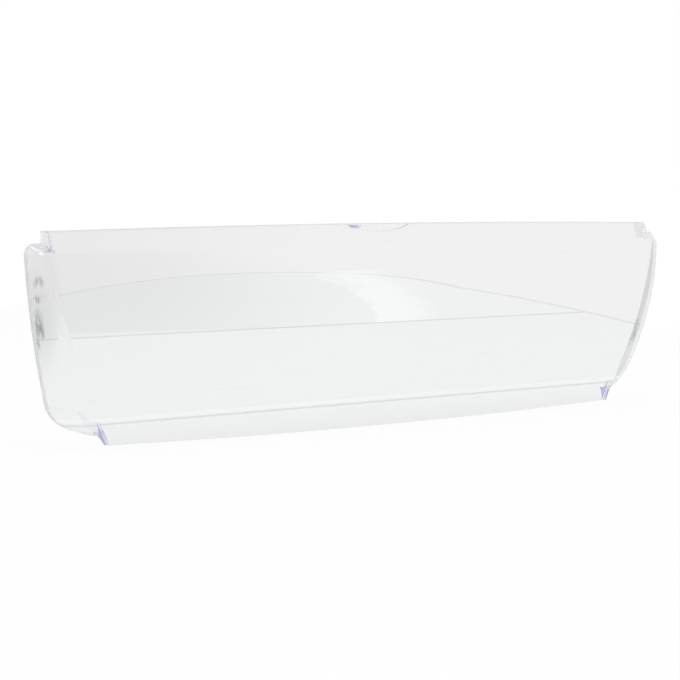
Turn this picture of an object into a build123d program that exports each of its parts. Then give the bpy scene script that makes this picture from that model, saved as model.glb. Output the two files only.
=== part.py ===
from build123d import *
import math
import os

# Clear moulded lid of a butter compartment, one piece, in millimetres.
# X runs along the lid, Y points from the face to the open back, Z is up.
# The origin is the middle of the hinge rail, level with the tops of its ears.

# Wall of the moulding, the same everywhere.
wall = 2.3

# Hinge rail: a band along the top that leans forward down to the face.
rail_height = 11.0
rail_top_y = -3.0
rail_crown = 1.8
rail_end_gap = 13.2

# Ears: plates that close the ends of the rail.
ear_back_y = 4.5
ear_height = 10.0
ear_corner_radius = 4.5

# Face: a panel that bulges forward between the rail and the lip.
face_height = 86.0
face_top_y = -7.5
face_foot_y = -3.2
face_bulge = 6.5
face_edge_radius = 6.0

# End walls, as they cross the plane y = 0. They bow outwards and flare to the back.
lid_width = 450.4
end_drop = 5.7
end_foot_depth = 7.0
end_taper = 32.5
end_bow = 5.6
end_flare = 0.55
end_top_radius = 5.5
end_foot_radius = 28.0

# Back rim of the end walls: a hollow curve down to the level of the fold, where it turns in
# and runs forward to the lip's lower corner in a second hollow curve.
rim_top_y = -0.4
rim_turn_y = 12.5
rim_hollow = 2.5
rim_foot_hollow = 1.9
rim_turn_radius = 12.0

# Pull lip: an upright strip below the face, with slanted ends and an edge that bows down.
lip_height = 12.0
lip_end_gap = 7.4
lip_end_slant = 5.6
lip_bow = 2.6

# Finger scoop: a shallow recess in the front of the rail's top edge.
scoop_length = 46.0
scoop_height = 4.4
scoop_depth = 1.2

# Levels and lengths worked out from the sizes above.
face_top_z = -rail_height
face_foot_z = face_top_z - face_height
lip_end_z = face_foot_z - lip_height
end_top_z = -end_drop
end_foot_z = face_foot_z - end_foot_depth
end_top_x = lid_width / 2
end_foot_x = end_top_x - end_taper
rail_end_x = end_top_x - rail_end_gap
lip_top_x = end_foot_x - lip_end_gap
lip_end_x = lip_top_x - lip_end_slant
front_y = min(face_top_y, face_foot_y) - face_bulge - wall
back_y = max(rim_turn_y, ear_back_y) + wall
reach = rail_height + face_height + lip_height
span = lid_width + 2 * reach


def arc_through(start: Vector, end: Vector, bow: float) -> tuple[float, Vector, Vector]:
    """Radius, centre and middle of an arc that bows to the right of start to end."""
    chord = end - start
    radius = (chord.length**2 / 4 + bow**2) / (2 * bow)
    inward = Vector(-chord.Y, chord.X).normalized()
    middle = (start + end) / 2 - inward * bow
    return radius, middle + inward * radius, middle


# The face in (y, z) and an end wall in (x, z) are arcs.
face_top = Vector(face_top_y, face_top_z)
face_foot = Vector(face_foot_y, face_foot_z)
face_radius, face_centre, face_middle = arc_through(face_top, face_foot, face_bulge)
end_top = Vector(end_top_x, end_top_z)
end_foot = Vector(end_foot_x, end_foot_z)
end_radius, end_centre, _ = arc_through(end_foot, end_top, end_bow)


def along_x(profile: Sketch, length: float) -> Part:
    """A profile in (y, z), drawn out along X to both sides of x = 0."""
    return extrude(Plane.YZ * profile, amount=length / 2, both=True)


def through_y(outline: Sketch) -> Part:
    """An outline in (x, z), drawn out along Y past the whole lid."""
    return extrude(Plane.XZ * outline, amount=reach, both=True)


def inner_radius(outer_radius: float) -> float:
    """Radius inside a rounded corner of the wall."""
    return max(outer_radius - wall, wall / 4)


def end_outline(y: float, inset: float) -> Sketch:
    """Section of the end walls at one depth, moved in by the inset, with rounded corners."""
    grow = end_flare * y - inset

    def side_point(z: float) -> Vector:
        """The point of the right end wall at one height."""
        return Vector(end_centre.X + math.sqrt((end_radius + grow) ** 2 - (z - end_centre.Y) ** 2), z)

    high = side_point(end_top_z + grow)
    low = side_point(end_foot_z - grow)
    side = ThreePointArc(high, side_point((high.Y + low.Y) / 2), low)
    across = [Line(high, (-high.X, high.Y)), Line(low, (-low.X, low.Y))]
    outline = make_face(Curve() + [side, mirror(side, Plane.YZ)] + across)
    top_corners = outline.vertices().group_by(Axis.Y)[-1]
    outline = fillet(top_corners, inner_radius(end_top_radius) if inset else end_top_radius)
    foot_corners = outline.vertices().group_by(Axis.Y)[0]
    return fillet(foot_corners, inner_radius(end_foot_radius) if inset else end_foot_radius)


def pan(inset: float) -> Part:
    """The bulged face and its flared end walls as a filled block, moved in by the inset."""
    end_inset = inset * math.hypot(1, end_flare)
    front = Plane.XZ.offset(-front_y) * end_outline(front_y, end_inset)
    back = Plane.XZ.offset(-back_y) * end_outline(back_y, end_inset)
    behind_face = along_x(Pos(face_centre.X, face_centre.Y) * Circle(face_radius - inset), span)
    block = loft([front, back], ruled=True) & behind_face
    face = block.faces().filter_by(GeomType.CYLINDER).sort_by(SortBy.AREA)[-1]
    return fillet(face.edges(), inner_radius(face_edge_radius) if inset else face_edge_radius)


def rim_region() -> Part:
    """Everything in front of the back rim."""
    below_z = lip_end_z - reach
    ahead_y = front_y - reach
    top = Vector(rim_top_y, end_top_z)
    turn = Vector(rim_turn_y, face_foot_z)
    foot = Vector(face_foot_y + wall, lip_end_z)
    edges = [
        ThreePointArc(top, arc_through(top, turn, rim_hollow)[2], turn),
        ThreePointArc(turn, arc_through(turn, foot, rim_foot_hollow)[2], foot),
        Polyline(foot, (foot.X, below_z), (ahead_y, below_z), (ahead_y, reach), (rim_top_y, reach), top),
    ]
    profile = make_face(Curve() + edges)
    corner = profile.vertices().sort_by_distance(turn)[0]
    return along_x(fillet(corner, rim_turn_radius), span)


def front_region(inset: float) -> Sketch:
    """Side view of everything behind the rail, the face and the lip, moved back by the inset."""
    far = reach + 2 * inset
    above_y = rail_top_y + (rail_top_y - face_top_y) / rail_height * far
    far_y = above_y + far
    below_z = lip_end_z - far
    edges = [
        Line((above_y, far), face_top),
        ThreePointArc(face_top, face_middle, face_foot),
        Polyline(face_foot, (face_foot_y, below_z), (far_y, below_z), (far_y, far), (above_y, far)),
    ]
    region = make_face(Curve() + edges)
    return offset(region, amount=-inset, kind=Kind.INTERSECTION) if inset else region


def rail_outline() -> Sketch:
    """Front view of the rail, with its crowned top, and of the face just below it."""
    foot_z = face_top_z - 2 * face_edge_radius
    edges = [
        ThreePointArc((-rail_end_x, 0), (0, rail_crown), (rail_end_x, 0)),
        Polyline((rail_end_x, 0), (rail_end_x, foot_z), (-rail_end_x, foot_z), (-rail_end_x, 0)),
    ]
    return make_face(Curve() + edges)


def lip_outline() -> Sketch:
    """Front view of the lip, and of the face just above it."""
    top_z = face_foot_z + 2 * face_edge_radius
    left_end = Polyline((-lip_end_x, lip_end_z), (-lip_top_x, face_foot_z), (-lip_top_x, top_z))
    right_end = mirror(left_end, Plane.YZ)
    top = Line((-lip_top_x, top_z), (lip_top_x, top_z))
    edge = ThreePointArc((-lip_end_x, lip_end_z), (0, lip_end_z - lip_bow), (lip_end_x, lip_end_z))
    return make_face(Curve() + [left_end, right_end, top, edge])


def front_sheet() -> Part:
    """The rail and the lip, cut from the sheet that the face is part of."""
    sheet = front_region(0) - front_region(wall)
    return along_x(sheet, span) & through_y(rail_outline() + lip_outline())


def between_lip_ends(inset: float) -> Sketch:
    """Front view of the space between the lip's slanted ends, moved in by the inset."""
    slant = lip_end_slant / lip_height
    side_inset = inset * math.hypot(1, slant)
    top_x = lip_top_x + slant * face_edge_radius - side_inset
    foot_x = lip_end_x - slant * lip_height - side_inset
    top_z = face_foot_z + face_edge_radius
    foot_z = lip_end_z - lip_height
    return Polygon((-top_x, top_z), (top_x, top_z), (foot_x, foot_z), (-foot_x, foot_z), align=None)


def lip_webs() -> Part:
    """Webs behind the lip's ends that taper from the end walls to the lip's lower corners."""
    top_z = end_foot_z + wall
    band = Pos(0, (top_z + lip_end_z) / 2) * Rectangle(span, top_z - lip_end_z)
    ends = (between_lip_ends(0) - between_lip_ends(wall)) & band
    return through_y(ends) & along_x(front_region(0), span) & rim_region()


def open_back() -> Part:
    """The space behind the rail and behind the lip, between the ears and the webs."""
    rail_foot_z = face_top_z - face_edge_radius
    rail_gap = Pos(0, (reach + rail_foot_z) / 2) * Rectangle(2 * (rail_end_x - wall), reach - rail_foot_z)
    return along_x(front_region(wall), span) & through_y(rail_gap + between_lip_ends(wall))


def ears() -> Part:
    """The two plates that close the rail's ends, each with its lower back corner rounded."""
    depth = ear_back_y - face_top_y
    plate = Pos(ear_back_y - depth / 2, -ear_height / 2) * Rectangle(depth, ear_height)
    low_back = plate.vertices().sort_by_distance((ear_back_y, -ear_height))[0]
    ear = along_x(fillet(low_back, ear_corner_radius) & front_region(0), wall)
    place = Pos(rail_end_x - wall / 2, 0, 0)
    return place * ear + mirror(place * ear, Plane.YZ)


def scoop() -> Part:
    """A shallow recess in the rail's front, with an arc for its lower edge."""
    radius = (scoop_length**2 / 4 + scoop_height**2) / (2 * scoop_height)
    outline = Pos(0, rail_crown - scoop_height + radius) * Circle(radius)
    skin = front_region(0) - front_region(scoop_depth)
    return along_x(skin, scoop_length) & through_y(outline)


shell = (pan(0) & rim_region()) + front_sheet()
shell = shell - pan(wall) - open_back()
lid = shell + lip_webs() + ears() - scoop()

os.makedirs("parts", exist_ok=True)
export_step(lid, "parts/lid.step")
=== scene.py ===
"""Clear moulded lid of a butter compartment, dressed and lit in a plain pale studio.

Everything is in metres in the part's own frame: X runs along the lid, Y points from the
face to the open back and Z is up. The origin is the middle of the hinge rail's top.
"""

import logging
import math
from dataclasses import dataclass, field
from enum import Enum
from functools import cached_property
from typing import Any

import bmesh
import bpy
from mathutils import Matrix, Vector


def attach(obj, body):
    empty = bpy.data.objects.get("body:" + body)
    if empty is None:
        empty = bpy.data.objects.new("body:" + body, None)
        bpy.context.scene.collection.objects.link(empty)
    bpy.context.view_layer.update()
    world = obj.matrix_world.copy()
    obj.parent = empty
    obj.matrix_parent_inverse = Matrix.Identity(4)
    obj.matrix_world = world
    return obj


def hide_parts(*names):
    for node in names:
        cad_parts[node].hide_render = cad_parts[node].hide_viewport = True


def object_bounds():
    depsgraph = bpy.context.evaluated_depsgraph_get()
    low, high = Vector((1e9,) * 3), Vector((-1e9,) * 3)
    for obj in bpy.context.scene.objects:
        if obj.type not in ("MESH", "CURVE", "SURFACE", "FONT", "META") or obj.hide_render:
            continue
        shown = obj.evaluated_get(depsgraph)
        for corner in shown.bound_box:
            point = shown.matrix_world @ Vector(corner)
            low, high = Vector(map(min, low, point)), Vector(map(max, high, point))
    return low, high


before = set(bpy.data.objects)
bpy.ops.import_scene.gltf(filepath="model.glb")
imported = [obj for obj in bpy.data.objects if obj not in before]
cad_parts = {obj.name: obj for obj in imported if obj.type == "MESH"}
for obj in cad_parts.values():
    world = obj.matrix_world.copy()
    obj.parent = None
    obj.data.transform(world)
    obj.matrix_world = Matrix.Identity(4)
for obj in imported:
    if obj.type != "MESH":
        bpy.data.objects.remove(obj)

CAD_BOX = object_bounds()
LOG = logging.getLogger("butter_lid")

Colour = tuple[float, float, float]
Point = tuple[float, float]
WHITE: Colour = (1.0, 1.0, 1.0)
BLACK: Colour = (0.0, 0.0, 0.0)
UP = Vector((0.0, 0.0, 1.0))


class Ray(Enum):
    """The kinds of ray that the studio tells apart."""

    CAMERA = "Is Camera Ray"
    GLOSSY = "Is Glossy Ray"
    TRANSMISSION = "Is Transmission Ray"


class CutEdge(Enum):
    """Narrow faces of the moulding, with how milky and how violet each one is, and how much painted glow
    (emission) it has.
    """

    RAIL_TOP = (0.90, 0.60, 0.0)
    EAR = (0.45, 0.12, 0.40)
    SCOOP = (0.60, 0.35, 0.0)
    LIP_FOOT = (0.15, 0.20, 0.0)
    LIP_END = (0.88, 1.0, 0.36)
    LIP_BACK = (0.90, 0.40, 0.60)
    BACK_RIM = (0.90, 0.06, 0.58)

    @property
    def milk(self) -> float:
        """Share of milky edge over clear plastic."""
        return self.value[0]

    @property
    def violet(self) -> float:
        """Share of violet in the edge's colour."""
        return self.value[1]

    @property
    def glow(self) -> float:
        """Painted glow: emission on the edge that stands in for light the clear walls lead to it."""
        return self.value[2]


@dataclass(frozen=True)
class Wire:
    """A node's output socket, with the arithmetic that shader values need."""

    graph: "NodeGraph"
    socket: bpy.types.NodeSocket

    def _math(self, operation: str, first: Any, second: Any) -> "Wire":
        """Adds a Math node.

        Args:
            operation: Blender's name of the operation.
            first: number or wire for the first input.
            second: number or wire for the second input.

        Returns:
            The wire of the node's result.
        """
        return self.graph.wire("ShaderNodeMath", {"operation": operation}, {0: first, 1: second})

    def __add__(self, other: Any) -> "Wire":
        """Sum with a number or a wire."""
        return self._math("ADD", self, other)

    __radd__ = __add__

    def __mul__(self, other: Any) -> "Wire":
        """Product with a number or a wire."""
        return self._math("MULTIPLY", self, other)

    __rmul__ = __mul__

    def __sub__(self, other: Any) -> "Wire":
        """Difference, self first."""
        return self._math("SUBTRACT", self, other)

    def __rsub__(self, other: Any) -> "Wire":
        """Difference, other first."""
        return self._math("SUBTRACT", other, self)

    def __or__(self, other: Any) -> "Wire":
        """The larger of two values."""
        return self._math("MAXIMUM", self, other)

    def __lt__(self, other: Any) -> "Wire":
        """One where the wire is below the limit, and nothing elsewhere."""
        return self._math("LESS_THAN", self, other)

    def __abs__(self) -> "Wire":
        """Size of the value without its sign."""
        return self._math("ABSOLUTE", self, 0.0)

    def ramp(self, start: float, end: float) -> "Wire":
        """A smooth step.

        Args:
            start: value at which the result is nothing.
            end: value at which the result is one.

        Returns:
            The wire of the step.
        """
        settings = {"interpolation_type": "SMOOTHSTEP"}
        return self.graph.wire("ShaderNodeMapRange", settings, {0: self, 1: start, 2: end, 3: 0.0, 4: 1.0})


class NodeGraph:
    """A node tree that is being built."""

    def __init__(self, tree: bpy.types.NodeTree) -> None:
        """Empties the tree."""
        self.tree = tree
        tree.nodes.clear()

    def node(self, kind: str, settings: dict[str, Any], inputs: dict[str | int, Any]) -> bpy.types.Node:
        """Adds any node.

        Args:
            kind: the node's type.
            settings: its own settings, which are set first.
            inputs: value or wire for each socket, by name or index.

        Returns:
            The new node.
        """
        made = self.tree.nodes.new(kind)
        for name, value in settings.items():
            setattr(made, name, value)
        for key, value in inputs.items():
            if isinstance(value, Wire):
                self.tree.links.new(value.socket, made.inputs[key])
            else:
                made.inputs[key].default_value = value
        return made

    def wire(
        self, kind: str, settings: dict[str, Any], inputs: dict[str | int, Any], output: str | int = 0
    ) -> Wire:
        """Adds any node and returns one of its outputs.

        Args:
            kind: the node's type.
            settings: its own settings, which are set first.
            inputs: value or wire for each socket, by name or index.
            output: name or index of the output.

        Returns:
            The wire of that output.
        """
        return Wire(self, self.node(kind, settings, inputs).outputs[output])

    def blend(self, share: Any, first: Any, second: Any) -> Wire:
        """Blends two colours.

        Args:
            share: number or wire, the second colour's share.
            first: colour or wire.
            second: colour or wire.

        Returns:
            The wire of the blended colour.
        """
        first, second = (value if isinstance(value, Wire) else (*value, 1.0) for value in (first, second))
        node = self.node("ShaderNodeMix", {"data_type": "RGBA"}, {"Factor": share, 6: first, 7: second})
        return Wire(self, node.outputs[2])

    def attribute(self, name: str) -> Wire:
        """Value of one of the mesh's own attributes."""
        return self.wire("ShaderNodeAttribute", {"attribute_name": name}, {}, "Fac")

    def grain(self, place: Wire, detail: float) -> Wire:
        """Noise with cells of one unit."""
        return self.wire("ShaderNodeTexNoise", {}, {"Vector": place, "Scale": 1.0, "Detail": detail}, "Fac")

    def ray(self, kind: Ray) -> Wire:
        """One for rays of that kind, and nothing for others."""
        return self.wire("ShaderNodeLightPath", {}, {}, kind.value)

    def vector(self, operation: str, first: Wire, second: tuple[float, ...], output: str | int = 0) -> Wire:
        """Adds a Vector Math node.

        Args:
            operation: Blender's name of the operation.
            first: wire for the first input.
            second: vector for the second input.
            output: name or index of the output.

        Returns:
            The wire of the node's result.
        """
        return self.wire("ShaderNodeVectorMath", {"operation": operation}, {0: first, 1: second}, output)

    def along(self, vector: Wire, aim: Vector) -> Wire:
        """Length of a vector along an aim."""
        return self.vector("DOT_PRODUCT", vector, tuple(aim.normalized()), "Value")

    def level(self, direction: Wire) -> Wire:
        """A direction, laid level and made one long."""
        flat = self.vector("MULTIPLY", direction, (1.0, 1.0, 0.0))
        return self.wire("ShaderNodeVectorMath", {"operation": "NORMALIZE"}, {0: flat})


@dataclass(frozen=True)
class SoftSpot:
    """A soft-edged oval in space, for a mark on the plastic."""

    middle: Vector
    reach: Vector
    core: float = 0.25

    def build(self, graph: NodeGraph, place: Wire) -> Wire:
        """Makes the spot's mask.

        Args:
            graph: the material's nodes.
            place: object coordinates.

        Returns:
            One in the spot's core, falling to nothing at its reach.
        """
        away = graph.vector("SUBTRACT", place, tuple(self.middle))
        scaled = graph.vector("DIVIDE", away, tuple(self.reach))
        distance = graph.wire("ShaderNodeVectorMath", {"operation": "LENGTH"}, {0: scaled}, "Value")
        return distance.ramp(1.0, self.core)


@dataclass(frozen=True)
class ClearPlastic:
    """Clear polystyrene with violet cut edges, wiping marks and specks, painted shade in its corners and over
    its end walls, a painted highlight and painted shade along the fold above the lip, painted violet light in
    the scoop and a painted glow on some cut edges.
    """

    name: str = "clear_plastic"
    body: Colour = (0.952, 0.957, 0.954)
    ior: float = 1.59
    gloss: float = 0.012
    # Cut edges.
    pale_edge: Colour = (0.86, 0.87, 0.88)
    violet_edge: Colour = (0.43, 0.44, 0.68)
    edge_roughness: float = 0.6
    edge_clarity: float = 0.5
    # Painted highlight as a light line along the fold above the lip (emission), and painted shade as a dark
    # line below it.
    fold_shade: Colour = (0.77, 0.78, 0.79)
    fold_level: float = -0.0961
    fold_reach: float = 0.0017
    fold_highlight: float = 0.028
    shade_level: float = -0.0983
    shade_reach: float = 0.0009
    # Tinted line along the rail's crowned top.
    rail_crown: float = 0.0018
    rail_half: float = 0.212
    rail_line: float = 0.0007
    rail_milk: float = 0.30
    rail_violet: float = 0.40
    # Painted violet light in the scoop's left corner: a milky violet patch that stands in for light led there
    # from the cut edge.
    scoop_light: SoftSpot = SoftSpot(
        Vector((-0.0170, -0.0030, 0.0006)), Vector((0.0080, 0.0022, 0.0019)), 0.55
    )
    # Painted shade: streaky dark marks in the corners between the face and the end walls, and grey painted
    # shade over the end walls round them.
    corner_shade: Colour = (0.17, 0.17, 0.16)
    corner_shade_width: float = 0.0028
    corner_shade_height: float = 0.024
    corner_shade_start: float = 0.40
    corner_shade_full: float = 0.62
    corner_shade_spots: tuple[SoftSpot, ...] = (
        SoftSpot(Vector((-0.2194, -0.0055, -0.0255)), Vector((0.0034, 0.0050, 0.0055))),
        SoftSpot(Vector((-0.2180, -0.0030, -0.0335)), Vector((0.0034, 0.0045, 0.0045))),
        SoftSpot(Vector((-0.2162, 0.0000, -0.0510)), Vector((0.0044, 0.0068, 0.0190))),
        SoftSpot(Vector((0.2130, 0.0020, -0.0700)), Vector((0.0090, 0.0150, 0.0140))),
    )
    end_shade_share: float = 0.18
    end_shade_spots: tuple[SoftSpot, ...] = (
        SoftSpot(Vector((-0.2180, -0.0020, -0.0480)), Vector((0.0125, 0.0210, 0.0560))),
        SoftSpot(Vector((0.2180, -0.0020, -0.0480)), Vector((0.0125, 0.0210, 0.0560))),
    )
    # Wiping marks.
    haze: Colour = (0.925, 0.932, 0.930)
    wiped: float = 0.05
    mark_length: float = 0.05
    mark_width: float = 0.0022
    mark_turn: float = math.radians(24.0)
    mark_start: float = 0.56
    mark_full: float = 0.86
    grain_detail: float = 3.0
    # Specks in the plastic.
    speck: Colour = (0.40, 0.40, 0.38)
    speck_pitch: float = 0.055
    speck_radius: float = 0.0006
    speck_share: float = 0.10
    # Flow waves.
    wave_length: float = 0.06
    wave_height: float = 0.00003
    wave_strength: float = 0.25

    def build(self, milk_attribute: str, violet_attribute: str, glow_attribute: str) -> bpy.types.Material:
        """Makes the material.

        Args:
            milk_attribute: name of the mesh attribute that says how milky a cut edge is.
            violet_attribute: name of the mesh attribute that says how violet it is.
            glow_attribute: name of the mesh attribute that says how much painted glow it has.

        Returns:
            The material.
        """
        material = bpy.data.materials.new(self.name)
        material.use_nodes = True
        graph = NodeGraph(material.node_tree)
        place = graph.wire("ShaderNodeTexCoord", {}, {}, "Object")
        milk, violet, glow = map(graph.attribute, (milk_attribute, violet_attribute, glow_attribute))
        # Painted violet light in the scoop's left corner.
        spot = self.scoop_light.build(graph, place)
        marks = self._wiping_marks(graph, place)
        # Grey painted shade over both end walls.
        end_shade = self._any_spot(graph, place, self.end_shade_spots)
        light, shade = self._fold_lines(graph, place)
        # Painted shade: a dark line just below the fold darkens the plastic's colour.
        haze = graph.blend(shade, graph.blend(marks, self.body, self.haze), self.fold_shade)
        # Painted shade: dark streaks in the corners, and grey over the end walls.
        corner_shaded = graph.blend(self._corner_shade(graph, place) | end_shade * self.end_shade_share, haze, self.corner_shade)
        clean = graph.blend(self._specks(graph, place), corner_shaded, self.speck)
        rail = self._rail_line(graph, place)
        edge = graph.blend(violet | spot | rail * self.rail_violet, self.pale_edge, self.violet_edge)
        clear = graph.wire(
            "ShaderNodeBsdfPrincipled",
            {},
            {
                "Base Color": clean,
                "Roughness": self.gloss + marks * self.wiped,
                "IOR": self.ior,
                "Transmission Weight": 1.0,
                # Painted highlight: emission in a line along the fold above the lip.
                "Emission Color": graph.blend(light * self.fold_highlight, BLACK, WHITE),
                "Emission Strength": 1.0,
                "Normal": self._flow_waves(graph, place),
            },
        )
        # Milky cut edges with a painted glow: emission in the edge's colour, with the base colour darkened by
        # as much.
        milky = graph.wire(
            "ShaderNodeBsdfPrincipled",
            {},
            {
                "Base Color": graph.blend(glow, edge, BLACK),
                "Roughness": self.edge_roughness,
                "IOR": self.ior,
                "Transmission Weight": self.edge_clarity,
                "Emission Color": graph.blend(glow, BLACK, edge),
                "Emission Strength": 1.0,
            },
        )
        share = milk | spot | rail * self.rail_milk
        surface = graph.wire("ShaderNodeMixShader", {}, {0: share, 1: clear, 2: milky})
        graph.node("ShaderNodeOutputMaterial", {}, {"Surface": surface})
        return material

    def _wiping_marks(self, graph: NodeGraph, place: Wire) -> Wire:
        """Long faint marks from wiping, slanted across the face.

        Args:
            graph: the material's nodes.
            place: object coordinates.

        Returns:
            The strength of the marks, from nothing to one.
        """
        turned = graph.wire(
            "ShaderNodeMapping",
            {},
            {
                "Vector": place,
                "Rotation": (0.0, self.mark_turn, 0.0),
                "Scale": (1 / self.mark_length, 1 / self.mark_length, 1 / self.mark_width),
            },
        )
        return graph.grain(turned, self.grain_detail).ramp(self.mark_start, self.mark_full)

    def _corner_shade(self, graph: NodeGraph, place: Wire) -> Wire:
        """Streaky painted shade in the corners between the face and the end walls.

        Args:
            graph: the material's nodes.
            place: object coordinates.

        Returns:
            The strength of the painted shade, from nothing to one.
        """
        width, height = 1 / self.corner_shade_width, 1 / self.corner_shade_height
        stretched = graph.wire("ShaderNodeMapping", {}, {"Vector": place, "Scale": (width, width, height)})
        streaks = graph.grain(stretched, self.grain_detail).ramp(self.corner_shade_start, self.corner_shade_full)
        return self._any_spot(graph, place, self.corner_shade_spots) * streaks

    def _fold_lines(self, graph: NodeGraph, place: Wire) -> tuple[Wire, Wire]:
        """The painted highlight along the fold above the lip, and the painted shade as a dark line just below
        it.

        Args:
            graph: the material's nodes.
            place: object coordinates.

        Returns:
            The masks of the painted highlight and of the painted shade.
        """
        height = graph.wire("ShaderNodeSeparateXYZ", {}, {0: place}, "Z")
        light = abs(height - self.fold_level).ramp(self.fold_reach, 0.0)
        shade = abs(height - self.shade_level).ramp(self.shade_reach, 0.0)
        return light, shade

    def _rail_line(self, graph: NodeGraph, place: Wire) -> Wire:
        """The thin tinted line along the crowned top of the rail.

        Args:
            graph: the material's nodes.
            place: object coordinates.

        Returns:
            The line's mask.
        """
        spot = graph.node("ShaderNodeSeparateXYZ", {}, {0: place})
        x, z = Wire(graph, spot.outputs["X"]), Wire(graph, spot.outputs["Z"])
        below = self.rail_crown - x * x * (self.rail_crown / self.rail_half**2) - z
        return below.ramp(self.rail_line, self.rail_line / 2)

    def _any_spot(self, graph: NodeGraph, place: Wire, spots: tuple[SoftSpot, ...]) -> Wire:
        """Joins the masks of several spots.

        Args:
            graph: the material's nodes.
            place: object coordinates.
            spots: the spots.

        Returns:
            The strongest of their masks.
        """
        joined, *others = (spot.build(graph, place) for spot in spots)
        for other in others:
            joined = joined | other
        return joined

    def _specks(self, graph: NodeGraph, place: Wire) -> Wire:
        """Tiny specks in the plastic, in a few of many cells.

        Args:
            graph: the material's nodes.
            place: object coordinates.

        Returns:
            One inside a speck, and nothing elsewhere.
        """
        cells = graph.node("ShaderNodeTexVoronoi", {}, {"Vector": place, "Scale": 1 / self.speck_pitch})
        near = Wire(graph, cells.outputs["Distance"]) < self.speck_radius / self.speck_pitch
        pick = graph.wire("ShaderNodeSeparateColor", {}, {0: Wire(graph, cells.outputs["Color"])})
        return near * (pick < self.speck_share)

    def _flow_waves(self, graph: NodeGraph, place: Wire) -> Wire:
        """Very low waves that the plastic's flow leaves in the surface.

        Args:
            graph: the material's nodes.
            place: object coordinates.

        Returns:
            The waved normal.
        """
        inputs = {"Vector": place, "Scale": 1 / self.wave_length, "Detail": 0.0}
        height = graph.wire("ShaderNodeTexNoise", {}, inputs, "Fac")
        bump = {"Strength": self.wave_strength, "Distance": self.wave_height, "Height": height}
        return graph.wire("ShaderNodeBump", {}, bump)


@dataclass(frozen=True)
class PaleTable:
    """Two pale halves, white to the camera, with a fine dark straight line where they meet and a darker edge
    band.
    """

    name: str = "pale_table"
    near_board: Colour = (0.92, 0.935, 0.927)
    near_shade: Colour = (0.885, 0.905, 0.893)
    far_board: Colour = (0.93, 0.945, 0.936)
    far_shade: Colour = (0.845, 0.865, 0.853)
    dark_line: Colour = (0.62, 0.64, 0.63)
    band: Colour = (0.74, 0.76, 0.75)
    dark_line_width: float = 0.011
    shade_start: float = 0.02
    shade_end: float = -0.30
    camera_white: float = 0.92
    mirror_white: float = 0.30
    through_share: float = 0.75

    def build(self, middle: Vector, right: Vector, across: Vector, band_attribute: str) -> bpy.types.Material:
        """Makes the material.

        Args:
            middle: a point on the dark line.
            right: level direction in which the far board gets lighter.
            across: level direction across the dark line, towards the far board.
            band_attribute: name of the mesh attribute that marks the edge band.

        Returns:
            The material.
        """
        material = bpy.data.materials.new(self.name)
        material.use_nodes = True
        graph = NodeGraph(material.node_tree)
        place = graph.wire("ShaderNodeTexCoord", {}, {}, "Object")
        beyond = graph.along(place, across) - middle.dot(across.normalized())
        sideways = graph.along(place, right) - middle.dot(right.normalized())
        band = graph.attribute(band_attribute)
        shade = sideways.ramp(self.shade_start, self.shade_end)
        far = graph.blend(shade, self.far_board, self.far_shade)
        near = graph.blend(shade, self.near_board, self.near_shade)
        boards = graph.blend(beyond < 0.0, far, near)
        # A fine dark straight line across the table, where its two halves meet.
        lined = graph.blend(abs(beyond) < self.dark_line_width / 2, boards, self.dark_line)
        colour = graph.blend(band, lined, self.band)
        matt = graph.wire("ShaderNodeBsdfDiffuse", {}, {"Color": (*self.near_board, 1.0)})
        white = graph.wire("ShaderNodeEmission", {}, {"Color": (*WHITE, 1.0), "Strength": 1.0})
        boards_alone = graph.wire("ShaderNodeEmission", {}, {"Color": colour, "Strength": 1.0})
        share = graph.ray(Ray.CAMERA) * self.camera_white + graph.ray(Ray.GLOSSY) * self.mirror_white
        seen = graph.wire("ShaderNodeMixShader", {}, {0: share, 1: matt, 2: white})
        through = graph.ray(Ray.TRANSMISSION) * self.through_share
        mixed = graph.wire("ShaderNodeMixShader", {}, {0: through, 1: seen, 2: boards_alone})
        graph.node("ShaderNodeOutputMaterial", {}, {"Surface": mixed})
        return material


@dataclass(frozen=True)
class Arc:
    """A circular arc that a wall of the moulding follows."""

    centre: Vector
    radius: float

    @classmethod
    def through(cls, start: Point, end: Point, bow: float) -> "Arc":
        """Makes an arc that bows to the right of the way from start to end.

        Args:
            start: first point.
            end: last point.
            bow: how far the arc stands off the straight line.

        Returns:
            The arc.
        """
        first, last = Vector(start), Vector(end)
        chord = last - first
        radius = (chord.length_squared / 4 + bow**2) / (2 * bow)
        inward = Vector((-chord.y, chord.x)).normalized()
        return cls((first + last) / 2 + inward * (radius - bow), radius)


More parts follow.
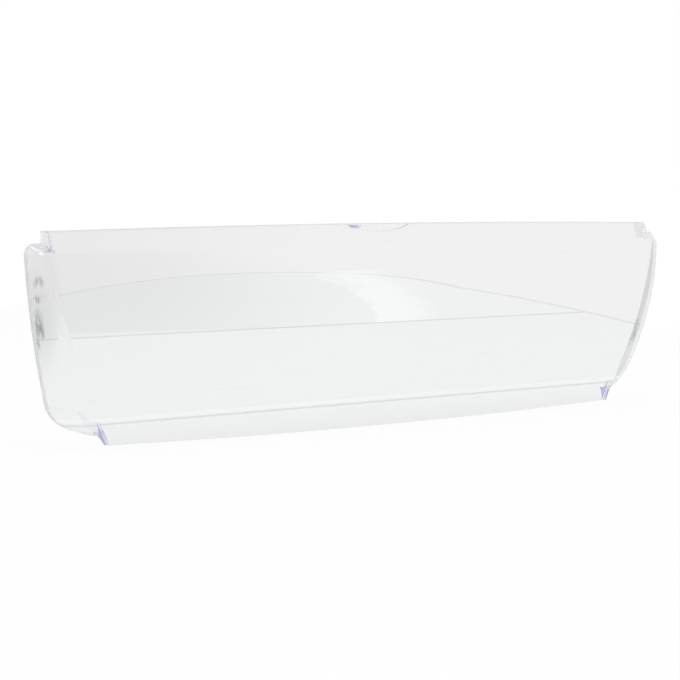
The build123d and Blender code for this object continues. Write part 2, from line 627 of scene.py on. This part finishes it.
@dataclass(frozen=True)
class WallCurves:
    """The exact curves of the bulged face and of the flared end walls, for smooth normals."""

    wall: float = 0.0023
    face_top: Point = (-0.0075, -0.011)
    face_foot: Point = (-0.0032, -0.097)
    face_bulge: float = 0.0065
    face_edge_radius: float = 0.006
    end_top: Point = (0.2252, -0.0057)
    end_foot: Point = (0.1927, -0.104)
    end_bow: float = 0.0056
    end_flare: float = 0.55
    nearness: float = 0.00006
    likeness: float = 0.012
    agreement: float = 0.9
    search_steps: int = 40

    @cached_property
    def face(self) -> Arc:
        """The face's arc in (y, z)."""
        return Arc.through(self.face_top, self.face_foot, self.face_bulge)

    @cached_property
    def end(self) -> Arc:
        """The right end wall's arc in (x, z), where it crosses y = 0."""
        return Arc.through(self.end_foot, self.end_top, self.end_bow)

    def _face_normal(self, point: Vector) -> Vector | None:
        """Works out the face's outward normal.

        Args:
            point: a point of the mesh.

        Returns:
            The normal, or None for a point off the face.
        """
        arm = Vector((point.y, point.z)) - self.face.centre
        off = self.face.radius - arm.length
        if min(abs(off), abs(off - self.wall)) > self.nearness:
            return None
        return Vector((0.0, arm.x, arm.y)).normalized()

    def _end_normal(self, point: Vector) -> Vector | None:
        """Works out an end wall's outward normal.

        Args:
            point: a point of the mesh.

        Returns:
            The normal, or None for a point off the end walls.
        """
        arm = Vector((abs(point.x), point.z)) - self.end.centre
        off = self.end.radius + self.end_flare * point.y - arm.length
        inset = self.wall * math.hypot(1.0, self.end_flare)
        if min(abs(off), abs(off - inset)) > self.nearness:
            return None
        arm.normalize()
        return Vector((math.copysign(arm.x, point.x), -self.end_flare, arm.y)).normalized()

    def _corner_middle(self, z: float) -> Vector:
        """Finds the middle of the rounded corner between the face and the right end wall.

        Args:
            z: the height.

        Returns:
            The middle of the corner's arc at that height.
        """
        drop = z - self.face.centre.y
        y = self.face.centre.x - math.sqrt((self.face.radius - self.face_edge_radius) ** 2 - drop**2)
        inset = self.face_edge_radius * math.hypot(1.0, self.end_flare)
        reach = self.end.radius + self.end_flare * y - inset
        return Vector((self.end.centre.x + math.sqrt(reach**2 - (z - self.end.centre.y) ** 2), y, z))

    def _corner_normal(self, point: Vector) -> Vector | None:
        """Works out the outward normal of a rounded corner, from the nearest middle of its arc.

        Args:
            point: a point of the mesh.

        Returns:
            The normal, or None for a point off the corners.
        """
        spot = Vector((abs(point.x), point.y, point.z))
        low, high = spot.z - self.face_edge_radius, spot.z + self.face_edge_radius
        for _ in range(self.search_steps):
            third = (high - low) / 3
            lower, upper = (self._corner_middle(z) - spot for z in (low + third, high - third))
            if lower.length < upper.length:
                high -= third
            else:
                low += third
        arm = spot - self._corner_middle((low + high) / 2)
        off = self.face_edge_radius - arm.length
        if min(abs(off), abs(off - self.wall)) > self.nearness:
            return None
        return Vector((math.copysign(arm.x, -point.x if arm.x < 0.0 else point.x), arm.y, arm.z)).normalized()

    def normals(self, facing: Vector, points: list[Vector]) -> list[Vector] | None:
        """Works out a mesh face's exact normals.

        Args:
            facing: the mesh face's own normal.
            points: its corners.

        Returns:
            One normal for each corner, or None where it is on neither curved wall.
        """
        end_tilt = self.end_flare / math.hypot(1.0, self.end_flare)
        if abs(facing.x) < self.likeness:
            exact = [self._face_normal(point) for point in points]
        elif abs(abs(facing.y) - end_tilt) < self.likeness:
            exact = [self._end_normal(point) for point in points]
        else:
            exact = [self._corner_normal(point) for point in points]
        if any(normal is None for normal in exact):
            return None
        exact = [normal if normal.dot(facing) > 0.0 else -normal for normal in exact]
        return exact if all(normal.dot(facing) > self.agreement for normal in exact) else None


@dataclass
class ButterLid:
    """The one-piece clear lid, made from the frame's own solid with softened edges."""

    node: str = "lid"
    body: str = "root"
    material_slot: str = "clear_plastic"
    milk_attribute: str = "edge_milk"
    violet_attribute: str = "edge_violet"
    glow_attribute: str = "edge_glow"
    finish: ClearPlastic = field(default_factory=ClearPlastic)
    curves: WallCurves = field(default_factory=WallCurves)
    weld_distance: float = 2e-6
    flat_angle: float = math.radians(0.2)
    edge_width: float = 0.00045
    edge_segments: int = 2
    sharp_angle: float = math.radians(32.0)
    fold_angle: float = math.radians(5.0)
    fold_length: float = 0.1
    facing: float = 0.6
    rail_facing: float = 0.52
    rail_band: float = 0.0035
    ear_inner: float = 0.2085
    ear_outer: float = 0.2130
    ear_height: float = 0.0105
    foot_band: float = 0.0045
    lip_band: float = 0.0105
    lip_reach: float = 0.190
    rim_start: float = 0.176
    rim_front: float = -0.002
    scoop_reach: float = 0.024
    scoop_depth: float = 0.0052

    def build(self) -> bpy.types.Object:
        """Makes the lid's mesh and dresses it.

        Returns:
            The lid.
        """
        lid = bpy.data.objects.new("clear_lid", self._copy_solid())
        bpy.context.collection.objects.link(lid)
        self._round_edges(lid)
        self._mark_cut_edges(lid.data)
        self._smooth(lid)
        lid.data.materials.clear()
        names = (self.milk_attribute, self.violet_attribute, self.glow_attribute)
        lid.data.materials.append(self.finish.build(*names))
        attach(lid, self.body)
        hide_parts(self.node)
        LOG.info("clear_lid: %d faces", len(lid.data.polygons))
        return lid

    def _copy_solid(self) -> bpy.types.Mesh:
        """Copies the solid's mesh, welds its triangles and joins those that lie flat.

        Returns:
            The welded mesh.
        """
        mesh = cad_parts[self.node].data.copy()
        mesh.name = "clear_lid"
        work = bmesh.new()
        work.from_mesh(mesh)
        bmesh.ops.remove_doubles(work, verts=work.verts, dist=self.weld_distance)
        bmesh.ops.dissolve_limit(work, angle_limit=self.flat_angle, verts=work.verts, edges=work.edges)
        work.to_mesh(mesh)
        work.free()
        return mesh

    def _edge_kind(self, normal: Vector, centre: Vector) -> CutEdge | None:
        """Says which cut edge a face belongs to.

        Args:
            normal: the face's normal.
            centre: the face's middle.

        Returns:
            The kind of cut edge, or None for the walls.
        """
        low, high = CAD_BOX
        side = abs(centre.x)
        if side < self.scoop_reach and centre.z > high[2] - self.scoop_depth and normal.z > self.facing:
            return CutEdge.SCOOP
        if normal.z > self.rail_facing and centre.z > high[2] - self.rail_band:
            return CutEdge.RAIL_TOP
        at_ear = self.ear_inner < side < self.ear_outer and centre.z > -self.ear_height
        if at_ear and abs(normal.x) > self.facing:
            return CutEdge.EAR
        if normal.z < -self.facing and centre.z < low[2] + self.foot_band:
            return CutEdge.LIP_FOOT
        backward = normal.y > self.facing and side > self.rim_start
        lip_corner = centre.z < low[2] + self.lip_band and side < self.lip_reach
        if lip_corner and abs(normal.x) > self.facing:
            return CutEdge.LIP_END
        if lip_corner and backward:
            return CutEdge.LIP_BACK
        if backward and centre.y > self.rim_front:
            return CutEdge.BACK_RIM
        return None

    def _mark_cut_edges(self, mesh: bpy.types.Mesh) -> None:
        """Writes how milky and how violet each face is, and how much painted glow it has, to mesh attributes.

        Args:
            mesh: the lid's mesh.
        """
        kinds = [self._edge_kind(face.normal, face.center) for face in mesh.polygons]
        values = {
            self.milk_attribute: [kind.milk if kind else 0.0 for kind in kinds],
            self.violet_attribute: [kind.violet if kind else 0.0 for kind in kinds],
            self.glow_attribute: [kind.glow if kind else 0.0 for kind in kinds],
        }
        for name, shares in values.items():
            mesh.attributes.new(name, "FLOAT", "FACE").data.foreach_set("value", shares)

    def _apply_modifiers(self, lid: bpy.types.Object) -> None:
        """Turns the lid's modifiers into plain mesh.

        Args:
            lid: the lid.
        """
        depsgraph = bpy.context.evaluated_depsgraph_get()
        lid_mesh = bpy.data.meshes.new_from_object(lid.evaluated_get(depsgraph))
        lid.modifiers.clear()
        lid.data = lid_mesh

    def _round_edges(self, lid: bpy.types.Object) -> None:
        """Rounds the moulding's sharp edges finely and drops the slivers that this leaves.

        Args:
            lid: the lid.
        """
        bevel = lid.modifiers.new("fine_edges", "BEVEL")
        bevel.width = self.edge_width
        bevel.segments = self.edge_segments
        bevel.limit_method = "ANGLE"
        bevel.angle_limit = self.sharp_angle
        bevel.use_clamp_overlap = True
        self._apply_modifiers(lid)
        work = bmesh.new()
        work.from_mesh(lid.data)
        bmesh.ops.dissolve_degenerate(work, dist=self.weld_distance, edges=work.edges)
        work.to_mesh(lid.data)
        work.free()

    def _smooth(self, lid: bpy.types.Object) -> None:
        """Shades the walls smooth between the folds, by their own curves where these are known.

        Args:
            lid: the lid.
        """
        self._mark_folds(lid.data)
        even = lid.modifiers.new("even_shading", "WEIGHTED_NORMAL")
        even.keep_sharp = True
        self._apply_modifiers(lid)
        self._set_normals(lid.data)

    def _mark_folds(self, mesh: bpy.types.Mesh) -> None:
        """Makes every face smooth, and every sharp edge or long fold sharp.

        Args:
            mesh: the lid's mesh.
        """
        work = bmesh.new()
        work.from_mesh(mesh)
        for face in work.faces:
            face.smooth = True
        for edge in work.edges:
            angle = edge.calc_face_angle(math.pi)
            fold = angle > self.fold_angle and edge.calc_length() > self.fold_length
            edge.smooth = not (fold or angle > self.sharp_angle)
        work.to_mesh(mesh)
        work.free()

    def _set_normals(self, mesh: bpy.types.Mesh) -> None:
        """Sets exact normals on the face, the end walls and the corners between them.

        Args:
            mesh: the lid's mesh.
        """
        normals = [corner.vector.copy() for corner in mesh.corner_normals]
        known = 0
        for face in mesh.polygons:
            points = [mesh.vertices[index].co for index in face.vertices]
            exact = self.curves.normals(face.normal, points)
            if exact:
                known += 1
                for loop, normal in zip(face.loop_indices, exact):
                    normals[loop] = normal
        mesh.normals_split_custom_set(normals)
        LOG.info("clear_lid: exact normals on %d faces", known)


@dataclass
class PhotoCamera:
    """Camera at the photograph's viewing angle, for a square picture."""

    place: Vector = field(default_factory=lambda: Vector((-0.708, -0.8696, 0.0213)))
    aim: Vector = field(default_factory=lambda: Vector((0.6150, 0.7849, -0.0758)))
    focal_pixels: float = 2000.0
    picture_pixels: float = 680.0
    sensor: float = 36.0

    @property
    def level_aim(self) -> Vector:
        """The viewing direction, laid level."""
        return Vector((self.aim.x, self.aim.y, 0.0)).normalized()

    @property
    def level_right(self) -> Vector:
        """The picture's right, which is level."""
        return self.level_aim.cross(UP)

    def build(self) -> bpy.types.Object:
        """Makes the camera and gives it to the scene.

        Returns:
            The camera.
        """
        data = bpy.data.cameras.new("photo_camera")
        data.sensor_width = self.sensor
        data.lens = self.sensor * self.focal_pixels / self.picture_pixels
        camera = bpy.data.objects.new("photo_camera", data)
        turn = self.aim.to_track_quat("-Z", "Y").to_matrix().to_4x4()
        camera.matrix_world = Matrix.Translation(self.place) @ turn
        bpy.context.collection.objects.link(camera)
        bpy.context.scene.camera = camera
        return camera


@dataclass
class Table:
    """Long oval table in two pale halves that the lid stands on."""

    camera: PhotoCamera
    finish: PaleTable = field(default_factory=PaleTable)
    band_attribute: str = "edge_band"
    half_width: float = 0.394
    half_length: float = 2.418
    middle_ahead: float = 0.777
    middle_right: float = -0.0167
    turn: float = 0.0323
    band_share: float = 0.985
    dark_line_ahead: float = 1.94
    dark_line_slope: float = 0.755
    points: int = 256

    def _level_point(self, right: float, ahead: float) -> Vector:
        """A point at the table's level, from its distances to the camera.

        Args:
            right: distance to the camera's right.
            ahead: distance ahead of the camera.

        Returns:
            The point.
        """
        spot = self.camera.place + right * self.camera.level_right + ahead * self.camera.level_aim
        spot.z = CAD_BOX[0][2]
        return spot

    def _oval(self, work: bmesh.types.BMesh, share: float) -> list[bmesh.types.BMVert]:
        """Adds the points of an oval.

        Args:
            work: the mesh that is being made.
            share: the oval's size, as a share of the table's.

        Returns:
            The points in order.
        """
        ring = []
        for index in range(self.points):
            angle = 2 * math.pi * index / self.points
            wide = share * self.half_width * math.cos(angle)
            long = share * self.half_length * math.sin(angle)
            right = self.middle_right + wide * math.cos(self.turn) - long * math.sin(self.turn)
            ahead = self.middle_ahead + wide * math.sin(self.turn) + long * math.cos(self.turn)
            ring.append(work.verts.new(self._level_point(right, ahead)))
        return ring

    def build(self) -> bpy.types.Object:
        """Makes the table top and the band round its edge.

        Returns:
            The table top.
        """
        mesh = bpy.data.meshes.new("table_top")
        work = bmesh.new()
        band = work.faces.layers.float.new(self.band_attribute)
        inner, outer = self._oval(work, self.band_share), self._oval(work, 1.0)
        work.faces.new(inner)
        for index, point in enumerate(inner):
            strip = work.faces.new((point, outer[index], outer[index - 1], inner[index - 1]))
            strip[band] = 1.0
        bmesh.ops.recalc_face_normals(work, faces=work.faces)
        if work.faces[:][0].normal.z < 0.0:
            bmesh.ops.reverse_faces(work, faces=work.faces)
        work.to_mesh(mesh)
        work.free()
        table = bpy.data.objects.new("table_top", mesh)
        bpy.context.collection.objects.link(table)
        right = self.camera.level_right
        along_dark_line = right + self.dark_line_slope * self.camera.level_aim
        across = UP.cross(along_dark_line)
        dark_line_point = self._level_point(0.0, self.dark_line_ahead)
        mesh.materials.append(self.finish.build(dark_line_point, right, across, self.band_attribute))
        return table


@dataclass(frozen=True)
class Pane:
    """An upright strip of the window, with its middle, its width and its share of the brightness."""

    middle: float
    width: float
    share: float


@dataclass
class Studio:
    """World and lamps: white to the camera, a pale wall through the lid, a soft room in its gloss."""

    wall: Colour = (0.925, 0.915, 0.92)
    wall_left: Colour = (0.875, 0.867, 0.871)
    room_light: Colour = (0.90, 0.90, 0.90)
    room_dark: Colour = (0.12, 0.12, 0.13)
    room_far: Colour = (0.40, 0.40, 0.40)
    room_high: Colour = (0.50, 0.50, 0.50)
    ambient: Colour = (0.80, 0.80, 0.80)
    dark_side: Vector = field(default_factory=lambda: Vector((0.17, -0.985, 0.0)))
    dark_span: Point = (0.865, 0.925)
    far_side: Vector = field(default_factory=lambda: Vector((0.26, 0.966, 0.0)))
    far_span: Point = (0.93, 0.98)
    left_span: Point = (0.922, 0.968)
    high_span: Point = (0.45, 0.75)
    bounces: int = 64
    lamp_target: Vector = field(default_factory=lambda: Vector((0.0, 0.0, -0.05)))
    window_place: Vector = field(default_factory=lambda: Vector((1.085, -1.33, 0.03)))
    window_height: float = 0.62
    window_roll: float = math.radians(5.5)
    window_watts: float = 1.173
    panes: tuple[Pane, ...] = (
        Pane(-0.0150, 0.045, 1.0),
        Pane(0.0140, 0.013, 0.8),
        Pane(0.0270, 0.013, 0.55),
        Pane(0.0400, 0.013, 0.28),
    )
    overhead_place: Vector = field(default_factory=lambda: Vector((-0.2, -0.5, 1.3)))
    overhead_size: float = 0.9
    overhead_watts: float = 5.0

    def build(self) -> None:
        """Makes the world and the lamps, and lets light bounce often enough for clear walls."""
        world = bpy.data.worlds.new("studio")
        bpy.context.scene.world = world
        world.use_nodes = True
        graph = NodeGraph(world.node_tree)
        direction = graph.wire("ShaderNodeTexCoord", {}, {}, "Generated")
        level = graph.level(direction)
        shade = graph.along(level, self.dark_side).ramp(*self.dark_span)
        leftward = graph.along(level, self.far_side)
        high = graph.along(direction, UP).ramp(*self.high_span)
        room = graph.blend(shade, self.room_light, self.room_dark)
        room = graph.blend(leftward.ramp(*self.far_span), room, self.room_far)
        room = graph.blend(high, room, self.room_high)
        wall = graph.blend(leftward.ramp(*self.left_span), self.wall, self.wall_left)
        colour = graph.blend(graph.ray(Ray.GLOSSY), self.ambient, room)
        colour = graph.blend(graph.ray(Ray.TRANSMISSION), colour, wall)
        colour = graph.blend(graph.ray(Ray.CAMERA), colour, WHITE)
        background = graph.wire("ShaderNodeBackground", {}, {"Color": colour, "Strength": 1.0})
        graph.node("ShaderNodeOutputWorld", {}, {"Surface": background})
        window = self._aimed(self.window_place) @ Matrix.Rotation(self.window_roll, 4, "Z")
        for pane in self.panes:
            placing = window @ Matrix.Translation((pane.middle, 0.0, 0.0))
            watts = self.window_watts * pane.width * pane.share
            self._lamp("window", placing, (pane.width, self.window_height), watts)
        above = self._aimed(self.overhead_place)
        self._lamp("overhead", above, (self.overhead_size, self.overhead_size), self.overhead_watts)
        paths = bpy.context.scene.cycles
        paths.max_bounces = self.bounces
        paths.glossy_bounces = self.bounces
        paths.transmission_bounces = self.bounces

    def _aimed(self, place: Vector) -> Matrix:
        """The placing of a lamp that points at the lid."""
        turn = (self.lamp_target - place).to_track_quat("-Z", "Y").to_matrix().to_4x4()
        return Matrix.Translation(place) @ turn

    def _lamp(self, name: str, placing: Matrix, size: tuple[float, float], watts: float) -> bpy.types.Object:
        """Makes a soft rectangular lamp.

        Args:
            name: the lamp's name.
            placing: where it hangs and how it is turned.
            size: its width and height.
            watts: its power.

        Returns:
            The lamp.
        """
        data = bpy.data.lights.new(name, "AREA")
        data.shape = "RECTANGLE"
        data.size, data.size_y = size
        data.energy = watts
        lamp = bpy.data.objects.new(name, data)
        lamp.matrix_world = placing
        bpy.context.collection.objects.link(lamp)
        return lamp


def main() -> None:
    """Builds the lid, the table, the studio and the camera in order."""
    logging.basicConfig(level=logging.INFO, format="%(name)s: %(message)s")
    bpy.context.scene.view_settings.view_transform = "Standard"
    lid = ButterLid().build()
    camera = PhotoCamera()
    table = Table(camera).build()
    Studio().build()
    view = camera.build()
    for piece in (lid, table, view):
        LOG.info("made %s", piece.name)


if __name__ == "__main__":
    main()
